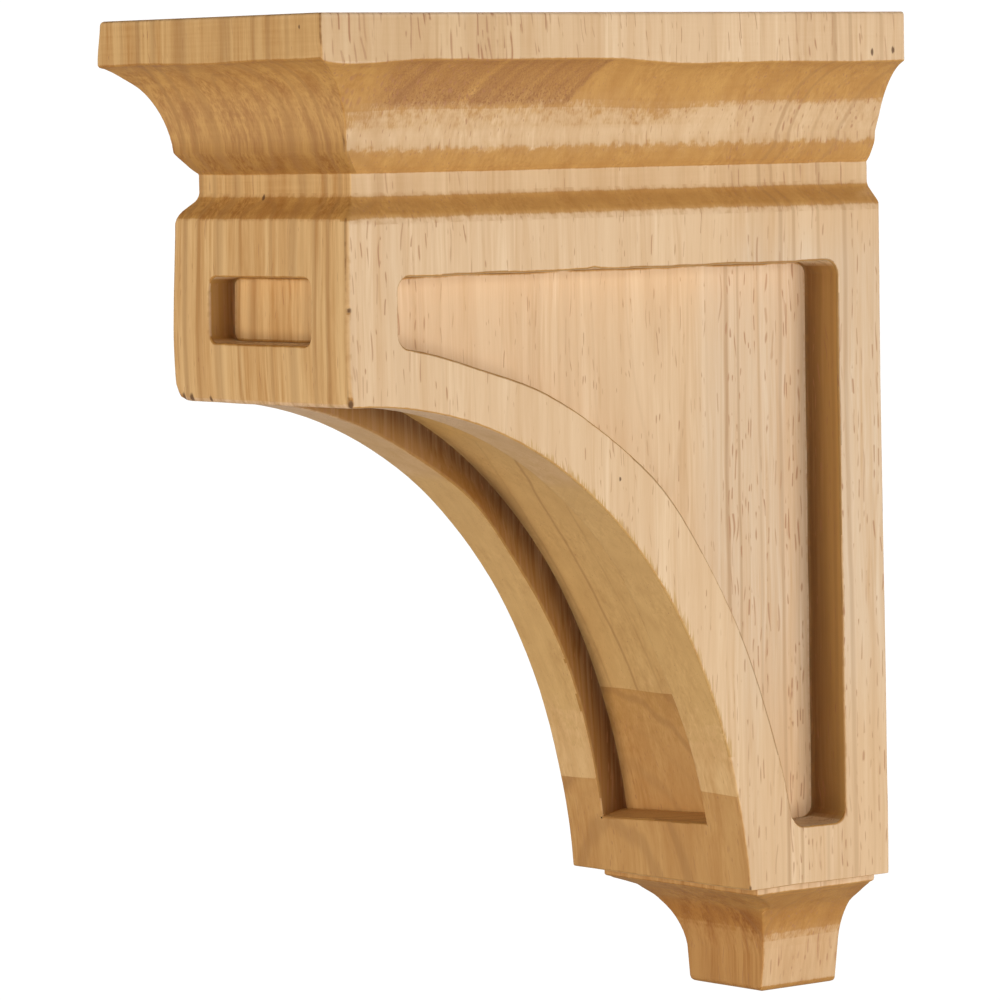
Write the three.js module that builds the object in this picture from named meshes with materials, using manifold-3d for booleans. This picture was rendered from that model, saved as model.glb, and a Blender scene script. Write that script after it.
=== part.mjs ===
// A bar bracket: a carved wooden corbel that carries the overhang of a bar top.
// It is one block of glued-up hardwood. A leg stands against the wall, and an arch springs from it
// to the block that reaches out under the cap. A moulded cap runs round the front and both sides,
// a coved drop closes the foot, and the sides, front and soffit have sunk panels.
// Millimetres, +Z up, the front faces -Y. The origin is the middle of the back face, on the wall.
import * as THREE from "three";
import { mergeVertices } from "three/addons/utils/BufferGeometryUtils.js";
import Module from "manifold-3d";

// Body
const bodyWidth = 92.1;
const legDepth = 61.8;
const blockHeight = 59.5;

// The arch is level where it meets the block's front. It is a quarter ellipse, a little fuller than
// a true one (fullness 2), whose centre lies below the leg's foot.
const archReach = 163.3;
const archRise = 167.4;
const archDrop = 25.6;
const archFullness = 2.14;

// Cap and the moulding under it, from the top down
const capThickness = 14.8;
const capFrontOverhang = 19.6;
const capSideOverhang = 13.55;
const capTopRound = 1.2;
const coveHeight = 24.8;
const coveFlatness = 0.3;
const noseHeight = 3;
const noseUndercut = 7;
const noseFlatness = 0.5;
const neckInset = 5.7;
const neckHeight = 7.8;
const bevelHeight = 5.9;

// Lip and coved drop at the foot
const lipHeight = 3.3;
const lipFrontInset = 8.5;
const lipSideInset = 6.4;
const dropCoveHeight = 24;
const dropCoveFlatness = 0.22;
const dropStemHeight = 12.5;
const dropStemDepth = 32.4;
const dropStemWidth = 43.6;
const dropFootTaper = 1.8;

// Sunk panels, each one border's width in from the edges that it follows
const border = 19.2;
const sidePanelDepth = 16;
const sidePanelCorner = 4.8;
const frontPanelDepth = 10;
const frontPanelCorner = 3.2;
const channelDepth = 11;
const channelFootBorder = 20.7;

// How finely the curves are cut into flat facets
const archSteps = 40;
const coveSteps = 14;
const cornerSteps = 5;
const roundSteps = 3;

const woodColour = 0xd8b384;
const woodRoughness = 0.55;

// Heights stack up from the foot, and the origin is at half of the whole
const bodyDepth = legDepth + archReach;
const dropHeight = dropStemHeight + dropCoveHeight;
const bodyHeight = archRise + blockHeight;
const mouldingHeight = bevelHeight + neckHeight + noseUndercut + noseHeight + coveHeight;
const height = dropHeight + lipHeight + bodyHeight + mouldingHeight + capThickness;

const foot = -height / 2;
const stemTop = foot + dropStemHeight;
const legFoot = foot + dropHeight + lipHeight;
const blockFoot = legFoot + archRise;
const bodyTop = blockFoot + blockHeight;
const neckFoot = bodyTop + bevelHeight;
const neckTop = neckFoot + neckHeight;
const noseFoot = neckTop + noseUndercut;
const coveFoot = noseFoot + noseHeight;
const top = height / 2;

const halfBody = bodyWidth / 2;
const halfCap = halfBody + capSideOverhang;
const capDepth = bodyDepth + capFrontOverhang;
const quarter = Math.PI / 2;

// The arch's half axes: the one across is such that it meets the leg's foot at the reach asked for
const archUp = archRise + archDrop;
const footShare = (1 - (archDrop / archUp) ** archFullness) ** (1 / archFullness);
const archAcross = archReach / footShare;

// Points along an arc of an ellipse, both ends included.
function arc([across, up], [radiusAcross, radiusUp], from, to, steps) {
  return Array.from({ length: steps + 1 }, (_, i) => {
    const angle = from + ((to - from) * i) / steps;
    return [across + radiusAcross * Math.cos(angle), up + radiusUp * Math.sin(angle)];
  });
}

// A quarter circle that rounds a panel's corner, starting at the given angle.
function corner(centre, radius, from) {
  return arc(centre, [radius, radius], from, from + quarter, cornerSteps);
}

// A curve pulled part of the way to the straight line between its ends.
function flattened(points, flatness) {
  const first = points[0];
  const last = points.at(-1);
  return points.map((point, i) => {
    const share = i / (points.length - 1);
    return point.map((value, axis) => {
      const straight = first[axis] + share * (last[axis] - first[axis]);
      return value + flatness * (straight - value);
    });
  });
}

// The edge of the cap and its moulding from the top down, as [out of the body, level].
// The nose stands in line with the body's face, and the neck is set in behind it.
function capEdge(overhang) {
  const edge = [overhang - capTopRound, top - capTopRound];
  const cove = arc([overhang, coveFoot], [overhang, coveHeight], quarter, 2 * quarter, coveSteps);
  const nose = arc([-neckInset, noseFoot], [neckInset, noseUndercut], 0, -quarter, coveSteps);
  return [
    ...arc(edge, [capTopRound, capTopRound], quarter, 0, roundSteps),
    ...flattened(cove, coveFlatness),
    ...flattened(nose, noseFlatness),
    [-neckInset, neckFoot],
    [0, bodyTop],
  ];
}

// The edge of the lip, the cove under it and the drop's stem, from the leg's foot down.
// Each is given by how far it reaches from the back face, or from the middle.
function dropEdge(lipReach, stemReach, footReach) {
  const coveRadii = [lipReach - stemReach, dropCoveHeight];
  const cove = arc([lipReach, stemTop], coveRadii, quarter, 2 * quarter, coveSteps);
  return [[lipReach, legFoot], ...flattened(cove, dropCoveFlatness), [footReach, foot]];
}

// The direction square to the arch and into the wood, as [y, z], at a turn about the arch's centre.
function archNormal(turn) {
  const power = 2 - 2 / archFullness;
  const normal = new THREE.Vector2(
    Math.cos(turn) ** power / archAcross,
    Math.sin(turn) ** power / archUp,
  );
  return normal.normalize();
}

// A point of the arch, or of the line that runs at one distance inside the wood from it, as [y, z].
function archPoint(turn, inside) {
  const power = 2 / archFullness;
  const normal = archNormal(turn);
  return [
    -bodyDepth + archAcross * Math.cos(turn) ** power + inside * normal.x,
    legFoot - archDrop + archUp * Math.sin(turn) ** power + inside * normal.y,
  ];
}

// The turn at which that line reaches a value of y (axis 0) or z (axis 1), found by halving.
function turnAt(axis, value, inside) {
  let [below, above] = axis === 0 ? [quarter, 0] : [0, quarter];
  while (Math.abs(above - below) > 1e-9) {
    const middle = (below + above) / 2;
    if (archPoint(middle, inside)[axis] < value) {
      below = middle;
    } else {
      above = middle;
    }
  }
  return below;
}

// Points along that line from one turn to another.
function archLine(from, to, inside) {
  return Array.from({ length: archSteps + 1 }, (_, i) =>
    archPoint(from + ((to - from) * i) / archSteps, inside),
  );
}

// Side elevation, as [y, z]: the back is at y 0.
function sideElevation() {
  const cap = capEdge(capFrontOverhang).map(([out, level]) => [-bodyDepth - out, level]);
  const soffit = archLine(quarter, turnAt(1, legFoot, 0), 0);
  const drop = dropEdge(legDepth - lipFrontInset, dropStemDepth, dropStemDepth);
  return [[0, top], ...cap, ...soffit, ...drop.map(([reach, level]) => [-reach, level]), [0, foot]];
}

// Front elevation, as [x, z], the same on both sides of x 0.
function frontElevation() {
  const cap = capEdge(capSideOverhang).map(([out, level]) => [halfBody + out, level]);
  const stem = dropStemWidth / 2;
  const drop = dropEdge(halfBody - lipSideInset, stem, stem - dropFootTaper);
  const right = [...cap, [halfBody, legFoot], ...drop];
  const left = right.map(([x, z]) => [-x, z]).reverse();
  return [...right, ...left];
}

// The sunk panel on each side, as [y, z]. Its lower front edge follows the arch.
function sidePanel() {
  const front = -bodyDepth + border;
  const back = -border;
  const low = legFoot + border;
  const high = bodyTop - border;
  const c = sidePanelCorner;
  const lowTurn = turnAt(1, low + c, border + c);
  const frontTurn = turnAt(0, front + c, border + c);
  const lowFrom = archNormal(lowTurn).angle() + 2 * quarter;
  const frontTo = archNormal(frontTurn).angle() + 2 * quarter;
  const lowCorner = arc(archPoint(lowTurn, border + c), [c, c], lowFrom, 3 * quarter, cornerSteps);
  const frontCentre = archPoint(frontTurn, border + c);
  const frontCorner = arc(frontCentre, [c, c], 2 * quarter, frontTo, cornerSteps);
  return [
    ...archLine(frontTurn, lowTurn, border),
    ...lowCorner.slice(1),
    ...corner([back - c, low + c], c, -quarter),
    ...corner([back - c, high - c], c, 0),
    ...corner([front + c, high - c], c, quarter),
    ...frontCorner.slice(0, -1),
  ];
}

// The sunk panel on the front of the block, as [x, z].
function frontPanel() {
  const c = frontPanelCorner;
  const across = halfBody - border - c;
  const low = blockFoot + border + c;
  const high = bodyTop - border - c;
  return [
    ...corner([across, high], c, 0),
    ...corner([-across, high], c, quarter),
    ...corner([-across, low], c, 2 * quarter),
    ...corner([across, low], c, 3 * quarter),
  ];
}

// The channel sunk into the arch's soffit, as [y, z]. It stops short of both ends of the arch.
function soffitChannel() {
  const front = -bodyDepth + border;
  const low = legFoot + channelFootBorder;
  const lowTurn = turnAt(1, low, channelDepth);
  const frontTurn = turnAt(0, front, channelDepth);
  return [[front, low], ...archLine(lowTurn, frontTurn, channelDepth)];
}

// A closed outline pushed straight through the block, as a solid. Along "x" the outline is [y, z]
// and runs from one x to another. Along "y" it is [x, z] and runs between two distances from the wall.
function prism(outline, along, from, to) {
  const shape = new THREE.Shape(outline.map(([across, up]) => new THREE.Vector2(across, up)));
  const geometry = new THREE.ExtrudeGeometry(shape, { depth: to - from, bevelEnabled: false });
  const x = new THREE.Vector3(1, 0, 0);
  const y = new THREE.Vector3(0, 1, 0);
  const z = new THREE.Vector3(0, 0, 1);
  const turn = new THREE.Matrix4();
  if (along === "x") {
    turn.makeBasis(y, z, x).setPosition(from, 0, 0);
  } else {
    turn.makeBasis(x, z, y.negate()).setPosition(0, -from, 0);
  }
  geometry.applyMatrix4(turn);
  geometry.deleteAttribute("normal");
  geometry.deleteAttribute("uv");
  const merged = mergeVertices(geometry);
  return new wasm.Manifold(
    new wasm.Mesh({
      numProp: 3,
      vertProperties: merged.attributes.position.array,
      triVerts: new Uint32Array(merged.index.array),
    }),
  );
}

// The carved block is where its two elevations cross, less the sunk panels.
function carvedBlock() {
  const side = prism(sideElevation(), "x", -halfCap, halfCap);
  const front = prism(frontElevation(), "y", 0, capDepth);
  const panelFloor = halfBody - sidePanelDepth;
  const halfChannel = halfBody - border;
  const sunk = [
    prism(sidePanel(), "x", panelFloor, halfCap),
    prism(sidePanel(), "x", -halfCap, -panelFloor),
    prism(frontPanel(), "y", bodyDepth - frontPanelDepth, capDepth),
    prism(soffitChannel(), "x", -halfChannel, halfChannel),
  ];
  return sunk.reduce((block, panel) => block.subtract(panel), side.intersect(front));
}

// A solid's surface as three.js geometry, with flat facets.
function surfaceOf(solid) {
  const { vertProperties, triVerts } = solid.getMesh();
  const shared = new THREE.BufferGeometry();
  shared.setAttribute("position", new THREE.BufferAttribute(vertProperties, 3));
  shared.setIndex(new THREE.BufferAttribute(triVerts, 1));
  const surface = shared.toNonIndexed();
  surface.computeVertexNormals();
  return surface;
}

const wasm = await Module();
wasm.setup();

const wood = new THREE.MeshStandardMaterial({
  color: woodColour,
  roughness: woodRoughness,
  metalness: 0,
});
const bracket = new THREE.Mesh(surfaceOf(carvedBlock()), wood);
bracket.name = "bracket";

const part = new THREE.Group();
part.add(bracket);

export default part;
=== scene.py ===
import math

import bmesh
import bpy
from mathutils import Matrix, Vector, noise


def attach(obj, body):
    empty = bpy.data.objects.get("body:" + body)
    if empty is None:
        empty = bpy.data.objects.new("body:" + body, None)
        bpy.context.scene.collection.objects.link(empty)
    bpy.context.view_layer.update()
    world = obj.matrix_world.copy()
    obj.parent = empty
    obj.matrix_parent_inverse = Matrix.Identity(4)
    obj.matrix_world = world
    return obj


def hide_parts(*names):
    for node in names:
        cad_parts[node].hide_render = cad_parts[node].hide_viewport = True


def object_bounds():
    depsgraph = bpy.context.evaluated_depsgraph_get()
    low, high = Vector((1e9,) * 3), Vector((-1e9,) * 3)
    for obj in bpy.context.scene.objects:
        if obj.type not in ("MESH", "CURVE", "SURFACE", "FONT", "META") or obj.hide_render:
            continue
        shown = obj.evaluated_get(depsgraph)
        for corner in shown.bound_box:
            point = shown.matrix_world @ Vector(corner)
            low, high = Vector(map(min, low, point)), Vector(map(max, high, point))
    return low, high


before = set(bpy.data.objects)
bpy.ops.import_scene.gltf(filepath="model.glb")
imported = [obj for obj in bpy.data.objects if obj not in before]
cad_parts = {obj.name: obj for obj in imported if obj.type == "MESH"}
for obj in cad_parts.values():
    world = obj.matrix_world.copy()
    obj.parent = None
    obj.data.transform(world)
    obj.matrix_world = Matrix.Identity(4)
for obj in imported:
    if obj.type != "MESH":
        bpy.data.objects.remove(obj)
cadLow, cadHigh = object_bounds()
noise.seed_set(5)  # so that the hand-made waves come out the same each run
mm = 0.001
print("frame loaded, CAD box", [round(v / mm, 1) for v in (*cadLow, *cadHigh)])

# The photograph's view: a long lens, a little above the middle of the bracket
shot = {
    "azimuth": math.radians(50.87),
    "pitch": math.radians(3.82),
    "roll": math.radians(-0.994),
    "distance": 1862 * mm,
    "aimAcross": -2.86 * mm,
    "aimDepth": -125 * mm,
    "aimUp": 6.39 * mm,
    "lens": 203.6,
    "sensor": 36,
}

# The carved block's planes, in mm from the CAD's origin
capHalf = cadHigh[0] / mm
capFront = cadLow[1] / mm
top = cadHigh[2] / mm
foot = cadLow[2] / mm
plane = {
    "bodyHalf": 46.05,
    "bodyFront": -225.1,
    "capFoot": 150.2,
    "neckFoot": 107.6,
    "bodyTop": 101.7,
    "blockFoot": 42.2,
    "legFoot": -125.2,
    "lipFoot": -128.5,
    "sideFloor": 30.05,
    "frontFloor": -215.1,
    "border": 19.2,
    "channelHalf": 26.85,
    "ledge": -104.5,
    "dropHalf": 21.8,
    "dropDeep": 32.4,
}
mitreSlope = 1.44  # the moulding stands out this much further in front than at the sides

# The arch's curve: a quarter ellipse, a little fuller than a true one
arch = {
    "y": -225.1,
    "z": -150.8,
    "across": 164.32,
    "up": 193.0,
    "fullness": 2.14,
    "meanRadius": 175,
}
channelDeep = 11

# How far each arris is eased by sanding, in mm, and how finely the faces are cut for hand-work
easing = {
    "widest": 3.0,
    "usual": 0.7,
    "back": 0.3,
    "dropBack": 1.2,
    "dropFoot": 2.0,
    "blockNear": 1.4,
    "blockFoot": 1.2,
    "bodyTop": 2.4,
    "neckFoot": 1.6,
    "rim": 0.8,
    "channelRim": 1.2,
    "panelFloor": 1.3,
    "hollow": 0.5,
    "sharpFrom": math.radians(32),
    "gridStep": 3.0,
    "fineStep": 0.8,
}


def makeCamera():
    azimuth, pitch = shot["azimuth"], shot["pitch"]
    toCamera = Vector(
        (
            math.sin(azimuth) * math.cos(pitch),
            -math.cos(azimuth) * math.cos(pitch),
            math.sin(pitch),
        )
    )
    across = Vector((math.cos(azimuth), math.sin(azimuth), 0))
    aim = Vector((0, shot["aimDepth"], shot["aimUp"])) + across * shot["aimAcross"]
    data = bpy.data.cameras.new("photoCamera")
    data.lens = shot["lens"]
    data.sensor_width = shot["sensor"]
    camera = bpy.data.objects.new("photoCamera", data)
    bpy.context.collection.objects.link(camera)
    upright = Matrix((across, toCamera.cross(across), toCamera)).transposed()
    roll = Matrix.Rotation(shot["roll"], 3, "Z")
    camera.matrix_world = Matrix.Translation(aim + toCamera * shot["distance"]) @ (upright @ roll).to_4x4()
    bpy.context.scene.camera = camera


def ramp(value, low, high):  # 0 at low, 1 at high, smooth between
    share = min(max((value - low) / (high - low), 0), 1)
    return share * share * (3 - 2 * share)


def around(distance, spread):  # 1 where the distance is 0, gone at two spreads
    return math.exp(-((distance / spread) ** 2))


def hump(value, middle, spread):  # 1 at the middle, gone at one spread and a half
    return around(value - middle, 0.6 * spread)


def near(value, level, slack=0.6):
    return abs(value - level) < slack


def mergedCopy(node):
    work = bmesh.new()
    work.from_mesh(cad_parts[node].data)
    bmesh.ops.remove_doubles(work, verts=work.verts, dist=0.002 * mm)
    bmesh.ops.dissolve_limit(
        work, angle_limit=math.radians(0.4), verts=work.verts, edges=work.edges
    )
    return work


def easedWidth(edge):
    a, b = (vert.co / mm for vert in edge.verts)
    mid = (a + b) / 2
    side = abs(mid.x)
    if edge.calc_face_angle_signed() < 0:  # an inside corner
        if near(side, plane["sideFloor"]) or near(mid.y, plane["frontFloor"]):
            return easing["panelFloor"]
        if near(mid.z, plane["neckFoot"]):
            return easing["neckFoot"]
        return easing["hollow"]
    if near(mid.y, 0, 0.01):
        return easing["dropBack"] if mid.z < plane["lipFoot"] else easing["back"]
    if near(mid.z, foot):
        return easing["dropFoot"]
    if near(mid.z, plane["bodyTop"]):
        return easing["bodyTop"]
    if near(mid.y, plane["bodyFront"]) and plane["blockFoot"] - 1 < mid.z < plane["bodyTop"]:
        if near(mid.x, plane["bodyHalf"]):
            return easing["blockNear"]
        if near(mid.z, plane["blockFoot"]):
            return easing["blockFoot"]
        if side < 30:
            return easing["rim"]
    inBody = plane["legFoot"] + 1 < mid.z < plane["bodyTop"] - 1
    if inBody and near(side, plane["bodyHalf"]) and mid.y > plane["bodyFront"] + 3:
        return easing["usual"] if archInset(mid)[0] < 3 else easing["rim"]
    if inBody and side < plane["bodyHalf"] - 3:
        return easing["channelRim"]
    return easing["usual"]


# How far a point lies inside the wood from the arch, in mm, and the way out of the arch there
def archInset(point):
    across = max(point.y - arch["y"], 0) / arch["across"]
    up = max(point.z - arch["z"], 0) / arch["up"]
    power = arch["fullness"]
    reach = max((across**power + up**power) ** (1 / power), 1e-6)
    radius = math.hypot(across * arch["across"], up * arch["up"]) / reach
    slope = Vector((0, across ** (power - 1) / arch["across"], up ** (power - 1) / arch["up"]))
    out = slope.normalized() if slope.length > 0 else Vector((0, 0, 1))
    lean = max(out.dot(Vector((0, across * arch["across"], up * arch["up"])).normalized()), 0.5)
    return (reach - 1) * radius * lean, out


def easedMesh(work):
    layer = work.edges.layers.float.new("bevel_weight_edge")
    for edge in work.edges:
        if len(edge.link_faces) == 2 and edge.calc_face_angle() > easing["sharpFrom"]:
            edge[layer] = easedWidth(edge) / easing["widest"]
    mesh = bpy.data.meshes.new("bracketBlank")
    work.to_mesh(mesh)
    work.free()
    mesh.materials.append(None)
    mesh.materials.append(None)
    blank = bpy.data.objects.new("bracketBlank", mesh)
    bpy.context.collection.objects.link(blank)
    ease = blank.modifiers.new("ease", "BEVEL")
    ease.limit_method = "WEIGHT"
    ease.width = easing["widest"] * mm
    ease.segments = 3
    ease.use_clamp_overlap = False
    ease.material = 1
    graph = bpy.context.evaluated_depsgraph_get()
    eased = bpy.data.meshes.new_from_object(blank.evaluated_get(graph))
    bpy.data.objects.remove(blank)
    return eased


def cutGrid(work, step):
    for axis in range(3):
        normal = Vector([float(i == axis) for i in range(3)])
        low, high = cadLow[axis] / mm, cadHigh[axis] / mm
        for count in range(1, int((high - low) / step) + 1):
            geom = [*work.verts, *work.edges, *work.faces]
            level = normal * (low + count * step - 0.37) * mm
            bmesh.ops.bisect_plane(work, geom=geom, dist=0.02 * mm, plane_co=level, plane_no=normal)


# Extra cuts beside one upright arris, so that it can be nicked
def cutArris(work, low, high, step):
    normal = Vector((0, 0, 1))
    for count in range(1, int((high[2] - low[2]) / step)):
        level = low[2] + count * step
        faces = []
        for face in work.faces:
            mid = face.calc_center_median() / mm
            if all(low[i] < mid[i] < high[i] for i in range(3)) and abs(mid.z - level) < 4:
                faces.append(face)
        parts = dict.fromkeys(part for face in faces for part in (*face.verts, *face.edges, face))
        if faces:
            bmesh.ops.bisect_plane(
                work, geom=list(parts), dist=0.02 * mm, plane_co=normal * level * mm, plane_no=normal
            )


# What hands and cutters left uneven: how far the surface is moved, in mm
hand = {
    "waves": 0.22,
    "waveLength": 34,
    "waveSeed": 3.3,
    "ripples": 0.07,
    "rippleLength": 9,
    "rippleSeed": 8.1,
    "blockBowOut": 0.9,
    "blockBowSide": 0.8,
    "blockCorner": 1.6,
    "capFootFrontLeft": 0.9,
    "capFootFrontRight": 0.5,
    "capFootBackRight": -1.4,
    "capScoop": 0.8,
    "capCorner": 0.2,
    "capKnock": 0.9,
    "farCoveDroop": 1.1,
    "capFarLean": 2.0,
    "panelTopWave": 0.45,
    "panelTopBump": 0.7,
    "legBulge": 0.8,
    "ledgeSkew": 1.1,
    "ledgeLift": 1.1,
    "ledgeTilt": 1.5,
    "farCoveOut": 0.9,
    "sideNoseIn": 0.7,
    "noseFlat": 0.8,
    "dropAside": 1.3,
    "dropNarrower": 1.9,
    "dropDeeper": 2.0,
    "dropCoveOut": 1.6,
    "arrisRagged": 0.12,
}
# Where each of them is strongest, and how far it spreads, in mm
spot = {
    "blockBow": (64, 42),
    "sideNose": (123.5, 9),
    "noseUnder": (118.6, 5),
    "capScoop": (-99, 26),
    "farCove": (146, 6),
    "panelBump": (-124.2, 2.2),
}
# Where each of them sets in: nothing at the first place, all of it at the second, in mm
onset = {
    "blockBack": (-150, -215),
    "blockLow": (38, 46),
    "blockHigh": (104, 98),
    "bowOut": (-205, -220),
    "bowSide": (-30, -44),
    "coveLow": (119, 126),
    "coveHigh": (151, 146),
    "noseBack": (-60, -10),
    "legHigh": (20, -70),
    "legBack": (-45, -12),
    "legLow": (-129, -124),
    "capBack": (-190, -5),
    "capLow": (126, 146),
    "capHigh": (162, 153),
    "mitre": (-1.5, 1.5),
    "farLean": (151, 166),
    "drop": (-130, -150),
    "dropCoveHigh": (-128.5, -130),
    "dropCoveLow": (-137, -132),
    "dropFront": (-10, -25),
    "strayHigh": (88, 70),
    "strayBack": (-22, -30),
    "panelFront": (-209, -200),
    "panelBack": (-16, -24),
    "ledgeBack": (-40, -52),
    "ledgeTilt": (9, 1),
    "rimLow": (-110, -98),
    "arris": (2.2, 0.4),
    "wall": (0, -4),
    "top": (top, top - 3),
    "foot": (foot, foot + 3),
}
# How the cap's lower edge wanders, along the front by x and along the near side by y: place, spread, lift
capFootFront = [(-52, 30, -0.4), (-6, 40, -0.85)]
capFootSide = [(-232, 36, -1.6), (-178, 50, -0.6), (-85, 60, -0.9), (-30, 40, -0.45)]
# Where the side panel's curved edge strays from its border's width: y, spread and how far, in mm
panelStray = [(-172, 34, -1.7), (-98, 30, 2.0), (-62, 18, 0.9), (-42, 16, 2.8)]
# Where the channel's rims stray inwards: side, y, spread and how far, in mm
rimStray = [(1, -84, 22, 3.4), (-1, -121, 26, 4.0), (-1, -82, 24, 1.7)]
# Nicks in the block's near arris: z, spread and depth, in mm
arrisNicks = [(72.8, 1.6, 0.6), (79, 1.2, 0.25), (66.5, 1.0, 0.2), (44.2, 2.2, 0.9), (90, 1.4, 0.2)]
# How far the smaller moves reach from their own corner or edge, in mm
reach = {
    "blockCorner": 3.5,
    "capCorner": 5,
    "farCove": 14,
    "farLean": 20,
    "knock": 5,
    "panelEdge": 6,
    "panelTop": 3,
    "ledge": 5,
    "rim": 5,
    "rimSide": 3,
}
sideFrom = 40  # further than this from the middle, a point of the moulding or leg is on a side


def wavy(point, length, seed):
    return noise.noise_vector(point / length + Vector((seed, 2.7 * seed, 5.1 * seed)))


def setIn(value, name):
    return ramp(value, *onset[name])


def summed(value, places):  # each place has its middle, its spread and its amount
    return sum(amount * hump(value, middle, spread) for middle, spread, amount in places)


def surfaceMove(p):
    move = wavy(p, hand["waveLength"], hand["waveSeed"]) * hand["waves"]
    return move + wavy(p, hand["rippleLength"], hand["rippleSeed"]) * hand["ripples"]


# The front of the block is bowed out below its middle, and its lower far corner is rubbed round
def blockMove(p):
    move = Vector()
    bow = setIn(p.y, "blockBack") * setIn(p.z, "blockLow") * setIn(p.z, "blockHigh")
    bow *= hump(p.z, *spot["blockBow"])
    move.y -= bow * hand["blockBowOut"] * setIn(p.y, "bowOut")
    move.x -= bow * hand["blockBowSide"] * setIn(p.x, "bowSide")
    corner = Vector((-plane["bodyHalf"], plane["bodyFront"], plane["blockFoot"]))
    rub = around((p - corner).length, reach["blockCorner"]) * hand["blockCorner"]
    return move + Vector((1, 0.6, 1)).normalized() * rub


# The far side's moulding is a little fuller, the near side's nose a little less proud, the leg bulges,
# and the nose's underside is flatter than a true quarter round
def mouldingMove(p):
    move = Vector()
    if p.x < -sideFrom:
        move.x -= hand["farCoveOut"] * setIn(p.z, "coveLow") * setIn(p.z, "coveHigh")
    if p.x > sideFrom:
        move.x -= hand["sideNoseIn"] * hump(p.z, *spot["sideNose"]) * (1 + setIn(p.y, "noseBack"))
        onLeg = setIn(p.z, "legHigh") * setIn(p.y, "legBack") * setIn(p.z, "legLow")
        move.x += hand["legBulge"] * onLeg
    underNose = hand["noseFlat"] * hump(p.z, *spot["noseUnder"])
    if abs(p.x) > plane["bodyHalf"] - 5:
        move.x -= math.copysign(underNose, p.x)
    if p.y < plane["bodyFront"] + 5:
        move.y += underNose
    return move


# The cap's lower edge isn't level, and the cove goes with it
def capMove(p):
    move = Vector()
    side = ramp(p.x, -plane["bodyHalf"], plane["bodyHalf"])
    back = setIn(p.y, "capBack")
    front = hand["capFootFrontLeft"] * (1 - side) + hand["capFootFrontRight"] * side
    uneven = front * (1 - back) + hand["capFootBackRight"] * back
    if p.x > sideFrom:
        uneven -= hand["capScoop"] * hump(p.y, *spot["capScoop"])
    nearCorner = math.hypot(p.x - capHalf, p.y - capFront)
    uneven += hand["capCorner"] * around(nearCorner, reach["capCorner"])
    atSide = setIn((p.x - plane["bodyHalf"]) * mitreSlope - (plane["bodyFront"] - p.y), "mitre")
    uneven += summed(p.x, capFootFront) * (1 - atSide)
    uneven += summed(p.y, capFootSide) * atSide
    move.z += uneven * setIn(p.z, "capLow") * setIn(p.z, "capHigh")
    farCorner = math.hypot(p.x + capHalf, p.y - capFront)
    droop = hump(p.z, *spot["farCove"]) * around(farCorner, reach["farCove"])
    move.z -= hand["farCoveDroop"] * droop
    move.x += hand["capFarLean"] * setIn(p.z, "farLean") * around(farCorner, reach["farLean"])
    knocked = (p - Vector((capHalf, capFront, plane["capFoot"]))).length
    return move + Vector((-1, 1, 0)) * hand["capKnock"] * around(knocked, reach["knock"])


# The drop is a little askew, and its cove starts full
def dropMove(p):
    move = Vector()
    if p.z < plane["lipFoot"] - 0.2:
        fall = setIn(p.z, "drop")
        move.x += (hand["dropAside"] - hand["dropNarrower"] * p.x / plane["dropHalf"]) * fall
        move.y += hand["dropDeeper"] * fall * p.y / plane["dropDeep"]
        fuller = hand["dropCoveOut"] * setIn(p.z, "dropCoveHigh") * setIn(p.z, "dropCoveLow")
        move.x += fuller * min(max(p.x / 20, -1), 1)
        move.y -= fuller * setIn(p.y, "dropFront")
    return move


# The side panel's curved edge strays, and its top edge is wavy
def panelMove(p):
    if abs(p.x) <= plane["sideFloor"] - 2:
        return Vector()
    inset, out = archInset(p)
    edge = around(inset - plane["border"], reach["panelEdge"]) * setIn(p.z, "strayHigh")
    move = out * summed(p.y, panelStray) * edge * setIn(p.y, "strayBack")
    wave = noise.noise(Vector((p.y / 14, 1.5, 0))) + 0.5 * noise.noise(Vector((p.y / 5, 7.5, 0)))
    atTop = around(p.z - plane["bodyTop"] + plane["border"], reach["panelTop"])
    atTop *= setIn(p.y, "panelFront") * setIn(p.y, "panelBack")
    lift = hand["panelTopWave"] * wave + hand["panelTopBump"] * hump(p.y, *spot["panelBump"])
    move.z += lift * atTop
    return move


# The channel's lower ledge was cut askew, and its rims stray
def channelMove(p):
    if abs(p.x) >= 34:
        return Vector()
    move = Vector()
    inset = archInset(p)[0]
    if abs(p.x) < plane["channelHalf"] + 1:
        ledge = around(p.z - plane["ledge"], reach["ledge"]) * setIn(p.y, "ledgeBack")
        move.z += (hand["ledgeSkew"] * p.x / 26 + hand["ledgeLift"]) * ledge
        move.z -= hand["ledgeTilt"] * ledge * setIn(inset, "ledgeTilt")
    if 22 < abs(p.x) and -20 < inset < 9 and p.z < plane["blockFoot"]:
        atRim = around(inset, reach["rim"]) * setIn(p.z, "rimLow")
        atRim *= around(abs(p.x) - plane["channelHalf"], reach["rimSide"])
        for side, y, spread, far in rimStray:
            if side * p.x > 0:
                move.x -= side * far * hump(p.y, y, spread) * atRim
    return move


def arrisMove(p):
    alongArris = math.hypot(p.x - plane["bodyHalf"], p.y - plane["bodyFront"])
    if alongArris >= 3:
        return Vector()
    ragged = hand["arrisRagged"] * max(noise.noise(Vector((3.1, 0.4, p.z / 1.7))), 0)
    return Vector((-0.7, 0.7, 0)) * (summed(p.z, arrisNicks) + ragged) * setIn(alongArris, "arris")


moves = (surfaceMove, blockMove, mouldingMove, capMove, dropMove, panelMove, channelMove, arrisMove)


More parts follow.
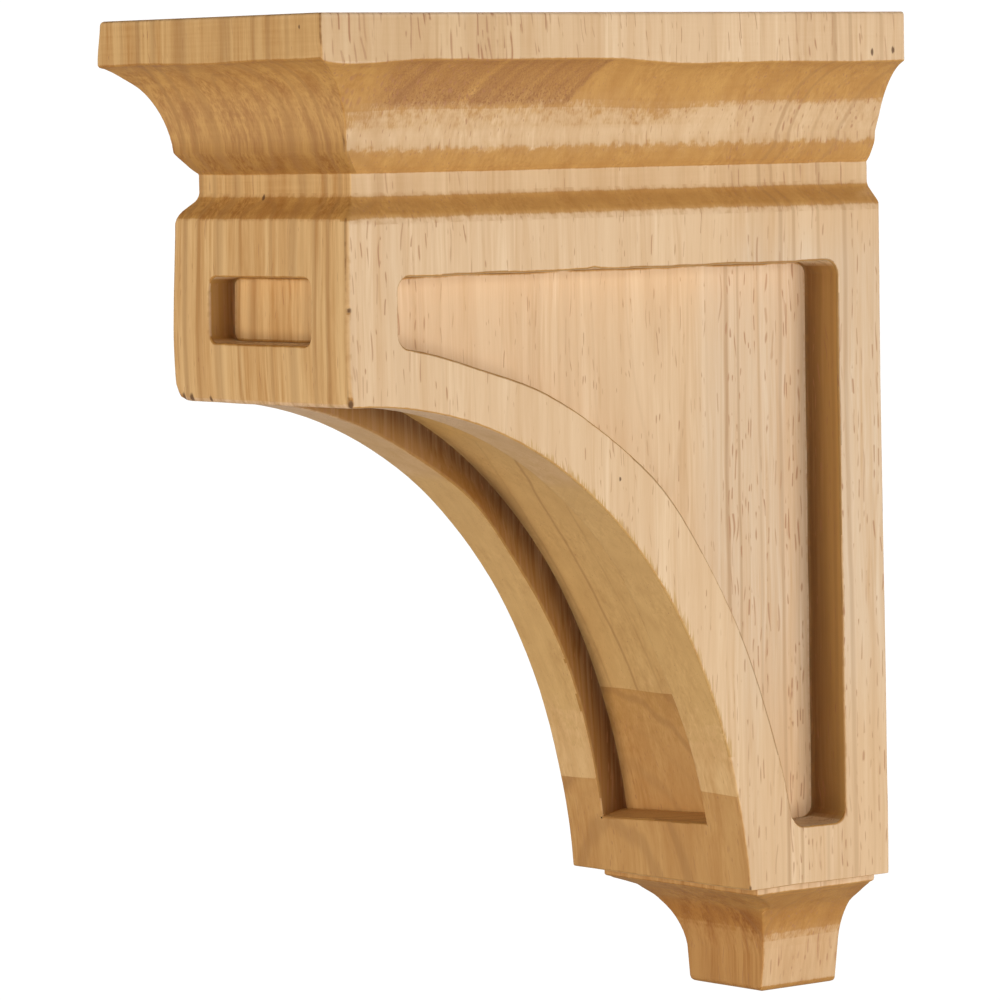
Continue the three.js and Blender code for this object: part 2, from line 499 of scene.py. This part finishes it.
def handWork(work):
    low, high = Vector(cadLow) / mm, Vector(cadHigh) / mm
    for vert in work.verts:
        p = vert.co / mm
        move = sum((part(p) for part in moves), Vector())
        move.y *= setIn(p.y, "wall")  # the back stays flat against the wall
        move.z *= setIn(p.z, "top")
        move.z *= setIn(p.z, "foot")
        p += move
        vert.co = Vector([min(max(p[i], low[i]), high[i]) for i in range(3)]) * mm


# Each corner keeps how it was cut: on an arris, on the arch, square to y, square to z. It also keeps
# whether it is a routed wall, how deep it lies in its recess, and whether it is a recess's rim.
def markCuts(mesh):
    cut = mesh.attributes.new("cut", "FLOAT_COLOR", "CORNER")
    routed = mesh.attributes.new("routed", "FLOAT_COLOR", "CORNER")
    low, high = plane["legFoot"] + 10, plane["bodyTop"] - 9
    panelDeep = plane["bodyHalf"] - plane["sideFloor"]
    frontDeep = plane["frontFloor"] - plane["bodyFront"]
    for poly in mesh.polygons:
        mid = poly.center / mm
        side = abs(mid.x)
        turn = [abs(value) for value in poly.normal]
        inset = archInset(mid)[0]
        eased = poly.material_index == 1
        inPanel = plane["sideFloor"] - 0.3 < side < plane["bodyHalf"] - 0.05 and inset > 10
        inPanel = inPanel and plane["bodyFront"] + 12 < mid.y < -10 and low < mid.z < high
        inFront = plane["bodyFront"] + 0.2 < mid.y < plane["frontFloor"] + 0.3 and side < 29
        inFront = inFront and plane["blockFoot"] + 12 < mid.z < plane["bodyTop"] - 12
        inChannel = side < 28 and 0.2 < inset < channelDeep + 0.4 and low < mid.z < plane["blockFoot"] - 1
        floor = inPanel and turn[0] > 0.9 or inFront and turn[1] > 0.9
        floor = floor or inChannel and turn[0] < 0.4 and inset > channelDeep - 1.5
        recess = inPanel or inFront or inChannel
        onArch = abs(inset) < 1.5 and turn[0] < 0.6 or inChannel
        for loop in poly.loop_indices:
            p = mesh.vertices[mesh.loops[loop].vertex_index].co / mm
            deep = archInset(p)[0] / channelDeep
            if inPanel:
                deep = (plane["bodyHalf"] - abs(p.x)) / panelDeep
            elif inFront:
                deep = (p.y - plane["bodyFront"]) / frontDeep
            normal = mesh.corner_normals[loop].vector
            # the rim mask is for painted shade on the recesses' rounded rims
            rim = eased and recess and deep < 0.12 and not (inChannel and mid.x < 0)
            cut.data[loop].color = (float(eased), float(onArch), abs(normal.y), abs(normal.z))
            routed.data[loop].color = (float(recess and not floor), deep, float(rim), 1)
    for poly in mesh.polygons:
        poly.material_index = 0


def carve():
    work = mergedCopy("bracket")
    print("merged copy", len(work.verts), "vertices", len(work.faces), "faces")
    eased = easedMesh(work)
    work = bmesh.new()
    work.from_mesh(eased)
    cutGrid(work, easing["gridStep"])
    arrisLow = (plane["bodyHalf"] - 3.5, plane["bodyFront"] - 1, plane["blockFoot"] - 1)
    arrisHigh = (plane["bodyHalf"] + 1, plane["bodyFront"] + 3.5, plane["bodyTop"])
    cutArris(work, arrisLow, arrisHigh, easing["fineStep"])
    handWork(work)
    work.to_mesh(eased)
    work.free()
    for poly in eased.polygons:
        poly.use_smooth = True
    rough = bpy.data.objects.new("roughBracket", eased)
    bpy.context.collection.objects.link(rough)
    weigh = rough.modifiers.new("weigh", "WEIGHTED_NORMAL")
    weigh.keep_sharp = True
    graph = bpy.context.evaluated_depsgraph_get()
    mesh = bpy.data.meshes.new_from_object(rough.evaluated_get(graph))
    bpy.data.objects.remove(rough)
    markCuts(mesh)
    mesh.materials.clear()
    bracket = bpy.data.objects.new("carvedBracket", mesh)
    bpy.context.collection.objects.link(bracket)
    print("carved bracket", len(mesh.vertices), "vertices", len(mesh.polygons), "faces")
    return bracket


# One output of a shader node, so that sums can be written as sums
class Wire:
    def __init__(self, tree, socket):
        self.tree = tree
        self.socket = socket

    def feed(self, port, value):
        if isinstance(value, Wire):
            self.tree.links.new(value.socket, port)
        else:
            port.default_value = value

    def node(self, kind, settings, values, output=0):
        made = self.tree.nodes.new(kind)
        for name, value in settings.items():
            setattr(made, name, value)
        for port, value in values.items():
            self.feed(made.inputs[port], value)
        return Wire(self.tree, made.outputs[output])

    def math(self, operation, *values):
        return self.node("ShaderNodeMath", {"operation": operation}, dict(enumerate(values)))

    def __add__(self, other):
        return self.math("ADD", self, other)

    __radd__ = __add__

    def __sub__(self, other):
        return self.math("SUBTRACT", self, other)

    def __rsub__(self, other):
        return self.math("SUBTRACT", other, self)

    def __mul__(self, other):
        return self.math("MULTIPLY", self, other)

    __rmul__ = __mul__

    def __truediv__(self, other):
        return self.math("DIVIDE", self, other)

    def __rtruediv__(self, other):
        return self.math("DIVIDE", other, self)

    def __pow__(self, other):
        return self.math("POWER", self, other)

    def __gt__(self, other):
        return self.math("GREATER_THAN", self, other)

    def clamp(self):
        return self.node("ShaderNodeClamp", {}, {0: self})

    def steps(self, low, high):  # 0 at low, 1 at high, smooth between
        values = {"Value": self, "From Min": low, "From Max": high}
        return self.node("ShaderNodeMapRange", {"interpolation_type": "SMOOTHSTEP"}, values)

    def blend(self, first, second):  # this wire is the share of the second colour
        return self.node("ShaderNodeMix", {"data_type": "RGBA"}, {0: self, 6: first, 7: second}, 2)

    def vector(self, operation, *values, output=0):
        settings = {"operation": operation}
        return self.node("ShaderNodeVectorMath", settings, dict(enumerate(values)), output)

    def tint(self, first, second):  # this wire is the share of the second colour's multiplying
        settings = {"data_type": "RGBA", "blend_type": "MULTIPLY"}
        return self.node("ShaderNodeMix", settings, {0: self, 6: first, 7: second}, 2)

    def join(self, x, y, z):
        return self.node("ShaderNodeCombineXYZ", {}, {0: x, 1: y, 2: z})

    def part(self, axis):
        return self.node("ShaderNodeSeparateXYZ", {}, {0: self}, axis)

    def cloud(self, scale, detail=2.0, roughness=0.5):
        values = {"Vector": self, "Scale": scale, "Detail": detail, "Roughness": roughness}
        return self.node("ShaderNodeTexNoise", {}, values)

    def marks(self, name, detail=2.0, roughness=0.5):  # noise in marks as long as markSize says
        turns = tuple(1 / length for length in markSize[name])
        return self.vector("MULTIPLY", self, turns).cloud(1.0, detail, roughness)

    def noiseAlong(self, detail):  # noise that changes with this one number
        values = {"W": self, "Scale": 1.0, "Detail": detail}
        return self.node("ShaderNodeTexNoise", {"noise_dimensions": "1D"}, values)

    def fade(self, name):  # a tone's share, by the places in toneEdge
        first, second = toneEdge[name]
        return self.steps(first, second) if first < second else 1 - self.steps(second, first)


# The wood's colours, as linear light reflected, and its figure, in mm. Some colours are painted shade,
# painted sheen or painted light, as marked
wood = {
    "pale": (0.80, 0.575, 0.355, 1),
    "chalk": (0.80, 0.64, 0.46, 1),
    "brown": (0.60, 0.355, 0.165, 1),
    "endPale": (0.60, 0.325, 0.095, 1),
    "endBrown": (0.41, 0.18, 0.042, 1),
    "archPale": (0.67, 0.42, 0.17, 1),
    "archBrown": (0.54, 0.31, 0.115, 1),
    # painted sheen: the rails' pale pinkish tone
    "archSheenPink": (0.67, 0.435, 0.23, 1),
    # painted light: the rails near the block, paler still
    "railLitNearBlock": (0.88, 0.62, 0.41, 1),
    "channelGold": (0.70, 0.42, 0.145, 1),
    # painted light on the recesses' level ledges
    "ledge": (0.88, 0.70, 0.46, 1),
    # painted shade on the drop, recessed under the leg
    "dropShade": (0.91, 0.84, 0.74, 1),
    "fringe": (0.56, 0.33, 0.115, 1),
    # partly painted shade: the front faces' honey tint, partly their own flat-sawn tone
    "frontShadeAndTone": (0.98, 0.90, 0.72, 1),
    # the leg's front: partly painted shade under the block, partly the last board's tone
    "legShadeAndTone": (0.83, 0.72, 0.56, 1),
    "ringLine": (0.36, 0.175, 0.06, 1),
    "pore": (0.42, 0.19, 0.085, 1),
    "burnt": (0.13, 0.06, 0.025, 1),
    # painted shade on routed walls near the rim
    "wallShadeAtRim": (0.58, 0.33, 0.10, 1),
    # painted shade deep in the recesses, also the colour of the rim and arris lines
    "shadeDeepAndLines": (0.25, 0.118, 0.034, 1),
    # painted shade on the channel's walls
    "channelWallShade": (0.70, 0.60, 0.46, 1),
    # painted shade under the nose's front
    "noseUnderShade": (0.76, 0.71, 0.60, 1),
    "mouldTone": (0.92, 0.885, 0.81, 1),
    # partly painted shadow of the cap on the near side's cove top
    "redZoneShadow": (0.34, 0.15, 0.05, 1),
    "seams": (-171.4, -133.1, -66.9),
    "seamBow": 2.4,
    "pithX": (-2, -75, 60, -22),
    "pithY": (-229, -60, -85, 40),
    "pithLean": 0.02,
    "shade": (0.0, 0.04, -0.03, 0.05),
    "wander": 9,
    "drift": 3.0,
    "fibres": 1.9,
    "ringSpacing": 9.0,
    "ringStrength": 0.08,
    "poreSizes": (0.25, 0.15, 0.2, 0.33),
    "poreSpacing": 1.8,
    "poreSway": (4.2, 3.2),
    "poreLength": 8.5,
    "poreLean": 0.09,
    "hatchSpacing": 6.5,
    "hatchSlope": 0.83,
    "roughness": 0.6,
    "bumpStrength": 0.4,
    "bumpHeight": 0.12,
}
# How long the marks of each sort of figure are along x, y and z, in mm
markSize = {
    "wander": (55, 55, 150),
    "drift": (9, 9, 45),
    "broad": (5.5, 5.5, 190),
    "fibre": (1.5, 1.5, 55),
    "fine": (0.5, 0.5, 12),
    "crowd": (14, 14, 70),
    "sanded": (30, 30, 0.9),
}
# Where each tone begins and ends: nothing of it at the first place, all of it at the second, in mm
toneEdge = {
    "seamBow": (-100, -60),
    "sanded": (104, 108),
    "poreLean": (140, 160),
    "capPoresFoot": (149.5, 150.0),
    "capPoresBack": (-130, -142),
    "redFoot": (134.5, 137.5),
    "redTop": (150.5, 149.5),
    "redBack": (-133, -137),
    "redFront": (-224, -206),
    "specksTop": (138, 146),
    "chalkFront": (-76, -60),
    "chalkFoot": (-90, -30),
    "chalkTop": (100, 80),
    "railFront": (-200, -145),
    "goldFront": (-129, -136),
    "neckTop": (115.6, 115.0),
    "neckFoot": (107.2, 107.8),
    "noseFoot": (115.3, 115.5),
    "noseTop": (129.5, 126.0),
    "underNose": (130.5, 117.0),
    "farCoveFront": (-110, -45),
    "farCoveFoot": (124, 126),
    "farCoveTop": (139, 131),
    "coveTop": (150.4, 149.6),
    "topEase": (161, 163.5),
    "lighterFoot": (119, 127),
    "lighterTop": (148, 134),
    "frontCapFoot": (149.8, 150.2),
    "frontCapTop": (164.5, 163.0),
    "frontCapBack": (-110, -200),
    "lowCoveFoot": (119, 124),
    "lowCoveTop": (139, 133),
    "dropTop": (-128, -129.5),
    "tornReach": (1.5, 0.2),
    "tornFront": (-175, -140),
    "tornEdge": (-2, -1),
}
# Growth rings that show plainly: the board, the radius round its pith, half its width, strength
plainRings = [
    (0, 9, 1.3, 0.26),
    (0, 20, 3.4, 0.34),
    (0, 31, 1.8, 0.30),
    (0, 38, 1.8, 0.40),
    (0, 47, 1.5, 0.22),
    (2, 70, 1.0, 0.45),
    (2, 58, 0.8, 0.18),
    (2, 83, 0.9, 0.22),
    (3, 104, 0.8, 0.35),
    (3, 108.5, 1.1, 0.40),
    (3, 96, 0.8, 0.22),
    (3, 88, 1.0, 0.30),
]
# Pinholes and dark spots: x, y, z and radius, in mm. They are drawn out along the grain.
darkSpots = [
    (59.6, -14.8, 151.6, 0.75),
    (59.6, -5.3, 152.2, 0.75),
    (-4.6, -219.6, 107.6, 0.8),
    (46.05, -115.7, 14.5, 0.42),
    (48.7, -244.7, 160.8, 0.5),
    (-42.0, -225.6, 43.1, 1.2),
    (-37.6, -225.6, 43.0, 1.2),
    (-27.3, -225.6, 42.8, 0.9),
    (45.2, -224.6, 72.8, 0.8),
    (45.2, -224.6, 43.4, 0.9),
    (46.0, -62.0, -124.6, 0.8),
]
spotSquat = 0.55
# Arrises that kept a dark ragged line, the block's and the cap's: x, y and half the line's width
darkArrises = [(44.7, -225.1, 0.42), (59.2, -244.5, 0.34)]


def byBoard(level, values):
    total = values[0]
    for seam, before, after in zip(wood["seams"], values, values[1:]):
        total = (level > seam) * (after - before) + total
    return total


def woodMaterial():
    material = bpy.data.materials.new("rubberwood")
    material.use_nodes = True
    tree = material.node_tree
    start = Wire(tree, None)
    coords = start.node("ShaderNodeTexCoord", {}, {}, "Object")
    place = coords.vector("MULTIPLY", coords, (1 / mm, 1 / mm, 1 / mm))
    x, y, z = (place.part(axis) for axis in range(3))
    across = y - z.fade("seamBow") * wood["seamBow"]
    cut = start.node("ShaderNodeAttribute", {"attribute_name": "cut"}, {}, "Color")
    eased, onArch, facingFront = (cut.part(axis) for axis in range(3))
    endwise = start.node("ShaderNodeAttribute", {"attribute_name": "cut"}, {}, "Alpha")
    sunk = start.node("ShaderNodeAttribute", {"attribute_name": "routed"}, {}, "Color")
    walled, depth, rim = (sunk.part(axis) for axis in range(3))
    offWall = 1 - (y > -0.5)
    frontward = facingFront.steps(0.2, 0.9)

    # Growth rings round each board's pith, drawn aside by a slow wander
    wander = (place.marks("wander", 1.0) - 0.5) * wood["wander"]
    drift = (place.marks("drift", 1.0) - 0.5) * wood["drift"]
    fromPithX = x - byBoard(across, wood["pithX"]) + wander + z * wood["pithLean"]
    fromPithY = y - byBoard(across, wood["pithY"]) + drift * 0.7
    radius = (fromPithX**2 + fromPithY**2) ** 0.5
    board = byBoard(across, (0, 1, 2, 3))
    band = (radius / wood["ringSpacing"] + board * 17.3).noiseAlong(1.0)
    crossing = start.math("ABSOLUTE", band - 0.5)
    rings = (1 - crossing.steps(0.004, 0.03)) * wood["ringStrength"]
    calm = ((x - byBoard(across, wood["pithX"]) + drift * 0.5) ** 2 + fromPithY**2) ** 0.5
    for ringBoard, ringRadius, half, strength in plainRings:
        inBoard = start.math("COMPARE", board, float(ringBoard), 0.1)
        off = start.math("ABSOLUTE", calm - ringRadius)
        rings = rings + (1 - off.steps(half * 0.2, half)) * inBoard * strength

    # Fibres run up the block
    leaning = place.vector("ADD", place, start.join(drift, drift, 0.0))
    broad = leaning.marks("broad")
    fibre = leaning.marks("fibre", 2.0, 0.6)
    fine = leaning.marks("fine", 2.0, 0.6)
    crowd = place.marks("crowd")
    patch = crowd.steps(0.38, 0.62) * wood["fibres"] + 0.25
    streaks = (broad - 0.5) * 1.6 + (fibre - 0.5) * patch + (fine - 0.5) * 0.55 + (band - 0.5) * 0.5
    streaks = streaks + (place.marks("sanded", 1.0) - 0.5) * z.fade("sanded") * 0.3
    streaks = streaks * (frontward * 0.85 + 0.55) * (1 - onArch * 0.45)
    share = (streaks + byBoard(across, wood["shade"]) + 0.36).clamp()

    # A reddish patch on the near side's cove, hatched and speckled; its dark top is partly a painted shadow
    # of the cap on the cove, partly the cove's own end grain
    reddish = z.fade("redFoot") * z.fade("redTop") * (x > plane["bodyHalf"] + 0.15)
    slanted = y - (z - 140) * wood["hatchSlope"]
    reddish = reddish * (slanted + (fibre - 0.5) * 6).fade("redBack")
    hatch = ((y - z * wood["hatchSlope"]) / wood["hatchSpacing"]).noiseAlong(1.0)
    specks = place.cloud(1.2, 1.0).steps(0.56, 0.66) * (1 - z.fade("specksTop") * 0.7) * 0.6
    redShadowZone = (fine - 0.5) * 1.1 + (hatch - 0.5) * 1.3 + specks + 0.54
    redShadowZone = (reddish * y.fade("redFront") * redShadowZone).clamp()

    # Pores are thin tubes along the grain: dashes on a long face, dots on an end
    swaying = place.vector("MULTIPLY", place, (1 / 6, 1 / 6, 1 / 15))
    swayX = (swaying.cloud(1.0, 0.0) - 0.5) * wood["poreSway"][0]
    swayY = (swaying.vector("ADD", swaying, (3.7, 9.1, 5.2)).cloud(1.0, 0.0) - 0.5) * wood["poreSway"][1]
    lean = z.fade("poreLean") * (z - 150) * wood["poreLean"]
    spacing = wood["poreSpacing"]
    poreAt = start.join((x + swayX) / spacing, (y + swayY + lean) / spacing, 0.0)
    flat = {"voronoi_dimensions": "2D"}
    grid = {"Vector": poreAt, "Scale": 1.0}
    away = start.node("ShaderNodeTexVoronoi", flat, grid, "Distance") * spacing
    whose = start.node("ShaderNodeTexVoronoi", flat, grid, "Color").part(0)
    stretch = (z / wood["poreLength"] + whose * 90).noiseAlong(0.0)
    onCap = z.fade("capPoresFoot") * y.fade("capPoresBack") * (1 - facingFront.steps(0.3, 0.7))
    girth = byBoard(across, wood["poreSizes"]) * (1 - facingFront.steps(0.5, 0.9) * 0.4)
    girth = girth * (crowd * 1.6 + 0.2) * (reddish * 0.8 + onCap * 0.8 + 1)
    dashes = (stretch + onCap * 0.09).steps(0.42, 0.5)
    pore = (1 - (away / girth).steps(0.55, 1.25)) * dashes * (whose * 0.7 + 0.4)

    # Long grain, end grain and the arch's tones, with a painted sheen on the rails and painted light near
    # the block
    chalky = across.fade("chalkFront") * z.fade("chalkFoot") * z.fade("chalkTop") * (1 - frontward)
    palest = (chalky * 0.8).blend(wood["pale"], wood["chalk"])
    # Front faces tinted honey: partly painted shade of the front, partly their own tone
    longWood = frontward.tint(share.blend(palest, wood["brown"]), wood["frontShadeAndTone"])
    # Painted sheen on the rails, brightened further as painted light near the block
    railSheen = y.fade("railFront").blend(wood["railLitNearBlock"], wood["archSheenPink"])
    onRail = (1 - depth.steps(0.12, 0.3)).blend(wood["channelGold"], railSheen)
    archPale = y.fade("goldFront").blend(wood["archPale"], onRail)
    endWood = share.blend(wood["endPale"], wood["endBrown"])
    endWood = onArch.blend(endWood, share.blend(archPale, wood["archBrown"]))

    # How much of the end grain shows, by how far the surface is turned across the grain
    ragged = place.cloud(0.35)
    beyond = x.math("ABSOLUTE", x) - plane["bodyHalf"]
    onFront = 1 - (beyond * mitreSlope + (y - plane["bodyFront"]) > 0)
    inNose = z.fade("noseFoot") * z.fade("noseTop") * offWall
    underNose = z.fade("underNose")
    farCove = y.fade("farCoveFront") * z.fade("farCoveFoot") * z.fade("farCoveTop")
    frontCove = z.fade("noseFoot") * z.fade("coveTop") * facingFront.steps(0.3, 0.7) * onFront
    turned = (endwise + (ragged - 0.5) * 0.16 - farCove * 0.2) * (1 - inNose)
    turned = turned + inNose * (underNose * 0.5 + (ragged - 0.5) * 0.3)
    turned = turned + (fine - 0.5) * 0.12 - z.fade("topEase") * 0.45
    turned = turned + frontCove * (inNose * (1 - underNose) * 0.4 + (broad - 0.5) * 0.4 + 0.25)
    endShare = turned.steps(0.26, 0.36) * 0.65 + turned.steps(0.1, 0.5) * 0.35
    colour = endShare.blend(longWood, endWood)

    # Tones of the moulding; painted shade under the nose's front and on the drop, and on the leg's front
    # partly painted shade, partly the last board's tone
    lighter = z.fade("lighterFoot") * z.fade("lighterTop") * 0.13
    colour = (frontCove * lighter).blend(colour, wood["pale"])
    inNeck = z.fade("neckFoot") * z.fade("neckTop")
    inFrontCap = z.fade("frontCapFoot") * z.fade("frontCapTop") * y.fade("frontCapBack")
    lowCove = z.fade("lowCoveFoot") * z.fade("lowCoveTop") * (1 - onFront) * 0.8
    colour = ((inNeck + inFrontCap + lowCove) * offWall).clamp().tint(colour, wood["mouldTone"])
    # Painted shade under the nose on the front
    colour = (inNose * underNose * onFront).tint(colour, wood["noseUnderShade"])
    # The leg's front is darker: partly painted shade under the block's overhang, partly the last board's
    # own tone
    onLeg = facingFront.steps(0.5, 0.9) * (across > wood["seams"][2])
    colour = onLeg.tint(colour, wood["legShadeAndTone"])
    # Painted shade on the drop, recessed under the leg
    colour = (z.fade("dropTop") * offWall).tint(colour, wood["dropShade"])

    # The fibres torn along the arch's near edge show golden
    stretched = ((y - arch["y"]).math("MAXIMUM", y - arch["y"], 0.0) / arch["across"]) ** arch["fullness"]
    stretched = stretched + (z.math("MAXIMUM", z - arch["z"], 0.0) / arch["up"]) ** arch["fullness"]
    fromArch = (stretched ** (1 / arch["fullness"]) - 1) * arch["meanRadius"]
    torn = (fromArch - (fine - 0.5) * 9 - (fibre - 0.5) * 4).fade("tornReach")
    torn = torn * (x > plane["bodyHalf"] - 1.05) * (z > -80)
    torn = torn * y.fade("tornFront") * fromArch.fade("tornEdge")
    colour = (torn * 0.85).clamp().blend(colour, wood["fringe"])
    # The reddish patch, partly painted shadow of the cap
    colour = redShadowZone.blend(colour, wood["redZoneShadow"])

    # Painted shade: routed walls are darker the deeper they lie in their recess, the channel's walls more
    # so. Painted light: level ones are paler
    routed = depth.steps(0.0, 0.95).blend(wood["wallShadeAtRim"], wood["shadeDeepAndLines"])
    routed = onArch.tint(routed, wood["channelWallShade"])
    level = endwise.steps(0.6, 0.9)
    upright = walled * (1 - level * 0.9)
    # Painted light on the level ledges of the recesses
    colour = (walled * level * (1 - onArch) * 0.85).blend(colour, wood["ledge"])
    colour = (upright * (0.9 + (fibre - 0.5) * 0.6)).clamp().blend(colour, routed)

    # Ring lines, pores, painted shade on the recesses' rims, rubbed arrises, dark arris lines and spots lie
    # over the rest
    colour = rings.clamp().blend(colour, wood["ringLine"])
    colour = (pore * (onCap * 0.15 + 0.7)).blend(colour, wood["pore"])
    # Painted shade on the recesses' rounded rims
    colour = (rim * 0.45).blend(colour, wood["shadeDeepAndLines"])
    colour = (eased * ragged.steps(0.42, 0.7) * 0.3).blend(colour, wood["endBrown"])
    line = 0.0
    for lineX, lineY, width in darkArrises:
        aside = ((x - lineX) ** 2 + (y - lineY) ** 2) ** 0.5
        line = (1 - aside.steps(width * 0.5, width * 1.7)) + line
    line = line * (0.5 + ragged.steps(0.40, 0.66) * 0.4)
    colour = line.clamp().blend(colour, wood["shadeDeepAndLines"])
    spots = 0.0
    squat = place.vector("MULTIPLY", place, (1, 1, spotSquat))
    for spotX, spotY, spotZ, size in darkSpots:
        apart = squat.vector("DISTANCE", squat, (spotX, spotY, spotZ * spotSquat), output="Value")
        spots = (1 - (apart + (fine - 0.5) * 0.6).steps(size * 0.55, size * 1.15)) + spots
    colour = (spots.clamp() * 0.9).blend(colour, wood["burnt"])

    bump = {"Strength": wood["bumpStrength"], "Distance": wood["bumpHeight"] * mm, "Height": fine}
    relief = start.node("ShaderNodeBump", {}, bump)
    shader = tree.nodes["Principled BSDF"]
    shader.inputs["Specular IOR Level"].default_value = 0.3
    tree.links.new(colour.socket, shader.inputs["Base Color"])
    tree.links.new((wood["roughness"] + (fine - 0.5) * 0.2).socket, shader.inputs["Roughness"])
    tree.links.new(relief.socket, shader.inputs["Normal"])
    return material


# Soft studio: a big lamp beside, a warmer one before and below, white all round behind the bracket
studio = {
    "key": {"place": (1.9, 0.2, -0.15), "size": (1.5, 1.5), "power": 34, "colour": (1, 1, 1)},
    "fill": {"place": (-0.2, -1.85, -0.1), "size": (1.2, 1.2), "power": 20, "colour": (1, 0.91, 0.74)},
    "rear": {"place": (-1.2, 1.5, 1.5), "size": (1.5, 1.5), "power": 46, "colour": (1, 0.98, 0.95)},
    "above": (0.09, 0.09, 0.09, 1),
    "below": (0.36, 0.36, 0.36, 1),
    "floorDrop": 3.0,
    "floorSize": 12,
}


def addLamp(name):
    lamp = studio[name]
    data = bpy.data.lights.new(name, "AREA")
    data.shape = "RECTANGLE"
    data.size, data.size_y = lamp["size"]
    data.energy = lamp["power"]
    data.color = lamp["colour"]
    light = bpy.data.objects.new(name, data)
    bpy.context.collection.objects.link(light)
    light.location = lamp["place"]
    light.rotation_euler = (-Vector(lamp["place"])).to_track_quat("-Z", "Y").to_euler()


def makeWorld():
    world = bpy.data.worlds.new("studio")
    bpy.context.scene.world = world
    world.use_nodes = True
    tree = world.node_tree
    start = Wire(tree, None)
    upward = start.node("ShaderNodeTexCoord", {}, {}, "Generated").part(2)
    lit = upward.steps(-0.5, 0.4).blend(studio["below"], studio["above"])
    around = start.node("ShaderNodeBackground", {}, {"Color": lit, "Strength": 1.0}, "Background")
    behind = start.node("ShaderNodeBackground", {}, {"Color": (1, 1, 1, 1), "Strength": 1.05}, "Background")
    seen = start.node("ShaderNodeLightPath", {}, {}, "Is Camera Ray")
    both = start.node("ShaderNodeMixShader", {}, {0: seen, 1: around, 2: behind}, "Shader")
    tree.links.new(both.socket, tree.nodes["World Output"].inputs["Surface"])


# A pale floor well below, out of the bracket's light and as white as the backdrop
def makeFloor():
    half = studio["floorSize"] / 2
    level = foot * mm - studio["floorDrop"]
    mesh = bpy.data.meshes.new("paleFloor")
    corners = [(-half, -half, level), (half, -half, level), (half, half, level), (-half, half, level)]
    mesh.from_pydata(corners, [], [(0, 1, 2, 3)])
    floor = bpy.data.objects.new("paleFloor", mesh)
    bpy.context.collection.objects.link(floor)
    material = bpy.data.materials.new("paleFloor")
    material.use_nodes = True
    tree = material.node_tree
    start = Wire(tree, None)
    lit = start.node("ShaderNodeEmission", {}, {"Color": studio["below"], "Strength": 1.0}, "Emission")
    white = start.node("ShaderNodeEmission", {}, {"Color": (1, 1, 1, 1), "Strength": 1.05}, "Emission")
    seen = start.node("ShaderNodeLightPath", {}, {}, "Is Camera Ray")
    both = start.node("ShaderNodeMixShader", {}, {0: seen, 1: lit, 2: white}, "Shader")
    tree.links.new(both.socket, tree.nodes["Material Output"].inputs["Surface"])
    mesh.materials.append(material)


makeCamera()
bracket = carve()
bracket.data.materials.append(woodMaterial())
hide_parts("bracket")
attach(bracket, "root")
print("bracket finished")

for name in ("key", "fill", "rear"):
    addLamp(name)
makeWorld()
makeFloor()
bpy.context.scene.view_settings.view_transform = "Standard"
print("studio lit")
